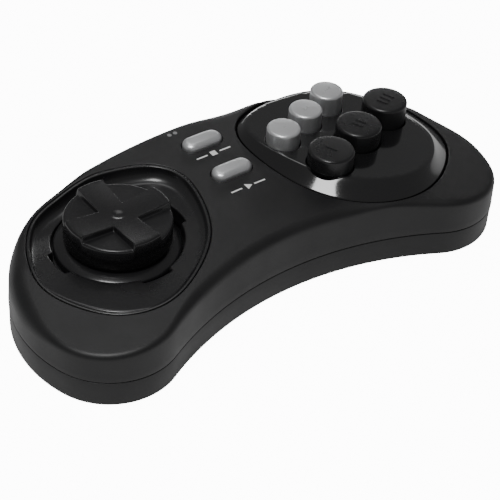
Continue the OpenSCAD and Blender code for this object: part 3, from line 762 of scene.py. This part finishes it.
# ---------------------------------------------------------------- buttons
def button(name, body, cap_node, centre, r, top, mark, mats):
    b = Build(name)
    cx, cy = centre
    prof = [(r, top - 8.5), (r, top - 4), (r, top - 0.75)]
    prof += bend(r, top - 0.75, r - 0.75, top, 6)[1:]
    crown = 0.12
    prof += [(r - 0.75 - (r - 0.75) * t, top + crown * (1 - (1 - t) ** 2)) for t in (0.2, 0.45, 0.75)]
    turned(b, cx, cy, prof, 96)
    b.lid(circle(cx, cy, (r - 0.75) * 0.25, top + crown * 0.94, 96), 0, False, crown * 0.06)
    size = 0.2 * r
    count = mark[1]
    for i in range(count):
        off = (i - (count - 1) / 2) * size * 1.5
        dx, dy = off * math.cos(ROW), off * math.sin(ROW)
        h = top + crown
        if mark[0] == "dot":
            ring_at = lambda rr, z: circle(cx + dx, cy + dy, rr, z, 24)
        else:
            p, n = pill_line(0, 0, 3.0 * size, 0.75 * size, 0.12)
            c, s = math.cos(ROW + math.pi / 2), math.sin(ROW + math.pi / 2)
            p = p @ np.array([[c, s], [-s, c]]) + [cx + dx, cy + dy]
            n = n @ np.array([[c, s], [-s, c]])
            ring_at = lambda rr, z, p=p, n=n: np.c_[p - n * (0.38 * size - rr * 0.7), np.full(len(p), z)]
        rr = 0.42 * size
        b.loft([ring_at(rr, h - 0.12), ring_at(rr, h + 0.08), ring_at(rr - 0.05, h + 0.14)])
        b.lid(ring_at(rr - 0.05, h + 0.14), 0, False, 0.01)
    return b.make(body, [cap_node], mats)


def pill(name, body, cap_node, y, mats):
    b = Build(name)
    p, n = pill_line(0, y, PILL_L, PILL_W)
    top = lambda x, yy: skin(x, yy) + PILL_H - 0.25 * (x / (PILL_L / 2)) ** 2
    rings = [ring(p, n, 0, lambda x, yy: skin(x, yy) - 2.5), ring(p, n, 0, lambda x, yy: top(x, yy) - 1.25)]
    for a in np.linspace(0, 90, 8)[1:]:
        c, s = math.cos(math.radians(a)), math.sin(math.radians(a))
        rings.append(ring(p, n, 1.5 * (1 - c), lambda x, yy: top(x, yy) - 1.25 * (1 - s)))
    b.loft(rings)
    b.fill(rings[-1], [], top, 0.45)
    return b.make(body, [cap_node], mats)


# ---------------------------------------------------------------- direction pad
def pad_height(x, y):
    """top of the disc: four arms that climb outwards over four low sectors"""
    u, v = x - PAD_X, y - PAD_Y
    r = np.hypot(u, v)
    half = 3.3 + 0.035 * r
    off = np.minimum(np.abs(u), np.abs(v)) - half
    arm = 25.15 + 1.25 * (r / PAD_R) ** 1.6
    low = 23.85 + 0.85 * np.clip(r / PAD_R, 0, 1)
    w = smooth((0.22 - off) / 0.5)
    z = low + (arm - low) * w
    dimple = np.clip(1 - (r / 1.7) ** 2, 0, 1)
    z = z - 0.22 * dimple
    rim = np.clip((r - (PAD_R - 0.7)) / 0.7, 0, 1)
    return z - 0.7 * (1 - np.sqrt(1 - np.minimum(rim, 0.999) ** 2))


def direction_pad():
    b = Build("direction_pad")
    n = 288
    a = 2 * math.pi * np.arange(n) / n
    rim_at = lambda r, z: np.c_[PAD_X + r * np.cos(a), PAD_Y + r * np.sin(a), z]
    edge = rim_at(PAD_R, 0 * a)
    edge[:, 2] = pad_height(edge[:, 0], edge[:, 1])
    low = 13.5
    # flange under the dish, then the ring in the hole, then the undercut below the disc
    side = [(HOLE_R + 1.0, low), (HOLE_R + 1.0, low + 1.0)]
    side += [(HOLE_R + 0.85, low + 1.2), (HOLE_R - 0.5, low + 1.2)]
    side += [(HOLE_R - 0.5, 16.2), (HOLE_R - 0.65, 16.7), (HOLE_R - 1.1, 17.0), (PAD_R + 0.3, 17.6)]
    side += [(PAD_R - 0.9, 17.8), (PAD_R - 0.9, 18.6), (PAD_R - 0.5, 18.75), (PAD_R + 0.02, 19.1)]
    side = [rim_at(r, np.full(n, z)) for r, z in side] + [rim_at(PAD_R, edge[:, 2] - 1.0)]
    b.loft(side + [edge])
    extra = []
    for off in np.arange(-0.45, 0.46, 0.1):
        for s in np.arange(3.0, PAD_R, 0.22):
            h = 3.3 + 0.035 * s + off
            if s < h or math.hypot(s, h) > PAD_R - 0.35:
                continue
            for i in (-1, 1):
                for j in (-1, 1):
                    extra += [(PAD_X + i * s, PAD_Y + j * h), (PAD_X + j * h, PAD_Y + i * s)]
    for rr in np.arange(0.05, 0.75, 0.1):
        q = rim_at(PAD_R - rr, 0 * a)[:, :2]
        extra += [tuple(t) for t in q]
    for rr in (0.5, 1.0, 1.4, 1.7, 2.0):
        turn = np.radians(np.arange(0, 360, 15))
        extra += [(PAD_X + rr * math.cos(t), PAD_Y + rr * math.sin(t)) for t in turn]
    b.fill(edge, [], pad_height, 0.6, extra=extra)
    return b.make("pad", ["dpad"], [PAD], sharp=60)


# ---------------------------------------------------------------- printed marks
def mark(name, shapes, mat):
    b = Build(name)
    for p in shapes:
        p = np.asarray(p, float)
        z = lambda x, y: skin(x, y) + 0.03
        b.fill(p, [], z, 0.8)
    return b.make("root", None, [mat])


def bar(cx, cy, w, h):
    x0, x1, y0, y1 = cx - w / 2, cx + w / 2, cy - h / 2, cy + h / 2
    return [(x0, y0), (x1, y0), (x1, y1), (x0, y1)]


top_shell()
bottom_shell()
battery_door()
dish_insert()
button_insert()
for i in range(3):
    for tone, spots, r, sign, paint in (
        ("black", BIG, BIG_R, "bar", CAP),
        ("silver", SMALL, SMALL_R, "dot", SILVER),
    ):
        k = i + 1
        cap, body, was = f"{tone}_cap_{k}", f"{tone}_{k}", f"{tone}_button_{k}"
        button(cap, body, was, spots[i], r, BUTTON_TOP, (sign, k), [paint])
pill("start_cap", "start", "start_button", START_Y, [SILVER])
pill("select_cap", "select", "select_button", SELECT_Y, [SILVER])
direction_pad()
thirds = (0, 2 * math.pi / 3, 4 * math.pi / 3)
tri = [(1.25 * math.cos(a), START_MARK_Y + 1.25 * math.sin(a)) for a in thirds]
square = bar(0, SELECT_MARK_Y, 1.7, 1.7)
for title, middle, y in (("start_mark", tri, START_MARK_Y), ("select_mark", square, SELECT_MARK_Y)):
    mark(title, [middle] + [bar(x, y, MARK_L, MARK_W) for x in (-MARK_X, MARK_X)], INK)
mark("player_mark", [circle(x, PLAYER_MARK_Y, 0.6, 0, 20)[:, :2] for x in (-5.8, -4.0)], INK_GREY)

MATS = {
    "dpad_mat": SILICONE,
    "action_mat": SILICONE,
    "menu_mat": SILICONE,
    "dpad_post": NYLON,
    "dpad_rocker": NYLON,
    "dpad_board": BOARD,
    "main_board": BOARD,
    "controller_chip": EPOXY,
    "radio_module": TIN,
    "ribbon_cable": RIBBON,
    "battery_leads": WIRE,
    "battery_1": JACKET,
    "battery_2": JACKET,
    "battery_contacts": STEEL,
    "battery_door": SHELL,
    "shell_screws": STEEL,
    "board_screws": STEEL,
    "feet": FOOT,
}
for name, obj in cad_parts.items():
    obj.data.materials.clear()
    obj.data.materials.append(MATS.get(name, SHELL))

# ---------------------------------------------------------------- studio
cam = bpy.data.cameras.new("camera")
cam.lens = 108
cam.sensor_width = 36
cam_obj = bpy.data.objects.new("camera", cam)
bpy.context.scene.collection.objects.link(cam_obj)
# the photograph's view: which way the camera's right, down and ahead point, and its place in
# metres; a least-squares fit to points read off the photo made these numbers
right = Vector((0.79817, -0.59918, 0.06252))
down = Vector((-0.34504, -0.53974, -0.76787))
ahead = Vector((0.49384, 0.59132, -0.63754))
m = Matrix((right, -down, -ahead)).transposed().to_4x4()
m.translation = (-0.19185, -0.23142, 0.24992)
cam_obj.matrix_world = m
cam.clip_start = 0.01
cam.clip_end = 20
bpy.context.scene.camera = cam_obj

floor_mesh = bpy.data.meshes.new("floor")
half = 6.0
corners = [(-half, -half, 0), (half, -half, 0), (half, half, 0), (-half, half, 0)]
floor_mesh.from_pydata(corners, [], [(0, 1, 2, 3)])
floor = bpy.data.objects.new("floor", floor_mesh)
bpy.context.scene.collection.objects.link(floor)
fm, ft = material("floor_paper")
co = node(ft, "ShaderNodeTexCoord")
fn = node(ft, "ShaderNodeTexNoise", {"Vector": (co, "Object"), "Scale": 40.0, "Detail": 4.0})
fr = node(ft, "ShaderNodeMapRange", {"Value": (fn, "Fac"), "To Min": 0.7, "To Max": 0.8})
fb = node(ft, "ShaderNodeBsdfPrincipled", {"Base Color": rgb("#f4f4f4"), "Roughness": (fr, "Result")})
fb.inputs["Specular IOR Level"].default_value = 0.1
fb.inputs["Emission Color"].default_value = (1, 1, 1, 1)
ray = node(ft, "ShaderNodeLightPath")
glow = {0: (ray, "Is Camera Ray"), 1: 12.0, 2: 0.06}
lit = node(ft, "ShaderNodeMath", glow, operation="MULTIPLY_ADD")
ft.links.new(lit.outputs["Value"], fb.inputs["Emission Strength"])
node(ft, "ShaderNodeOutputMaterial", {"Surface": (fb, "BSDF")})
floor_mesh.materials.append(fm)

world = bpy.data.worlds.new("studio")
bpy.context.scene.world = world
world.use_nodes = True
wt = world.node_tree
wt.nodes.clear()
wb = node(wt, "ShaderNodeBackground", {"Color": (1, 1, 1, 1), "Strength": 0.2})
node(wt, "ShaderNodeOutputWorld", {"Surface": (wb, "Background")})


def softbox(name, place, aim, w, h, watts):
    d = bpy.data.lights.new(name, "AREA")
    d.shape = "RECTANGLE"
    d.size = w
    d.size_y = h
    d.energy = watts
    o = bpy.data.objects.new(name, d)
    bpy.context.scene.collection.objects.link(o)
    o.location = place
    o.rotation_mode = "QUATERNION"
    o.rotation_quaternion = (Vector(aim) - Vector(place)).to_track_quat("-Z", "Y")
    return o


softbox("front", (-0.30, -0.13, 0.93), (0, 0, 0.01), 0.30, 0.30, 5)
softbox("overhead", (0.15, 0.45, 1.05), (0, 0, 0.01), 0.5, 0.4, 1.2)
softbox("back", (0.75, 0.95, 0.34), (0, 0, 0.01), 0.7, 0.12, 1.4)
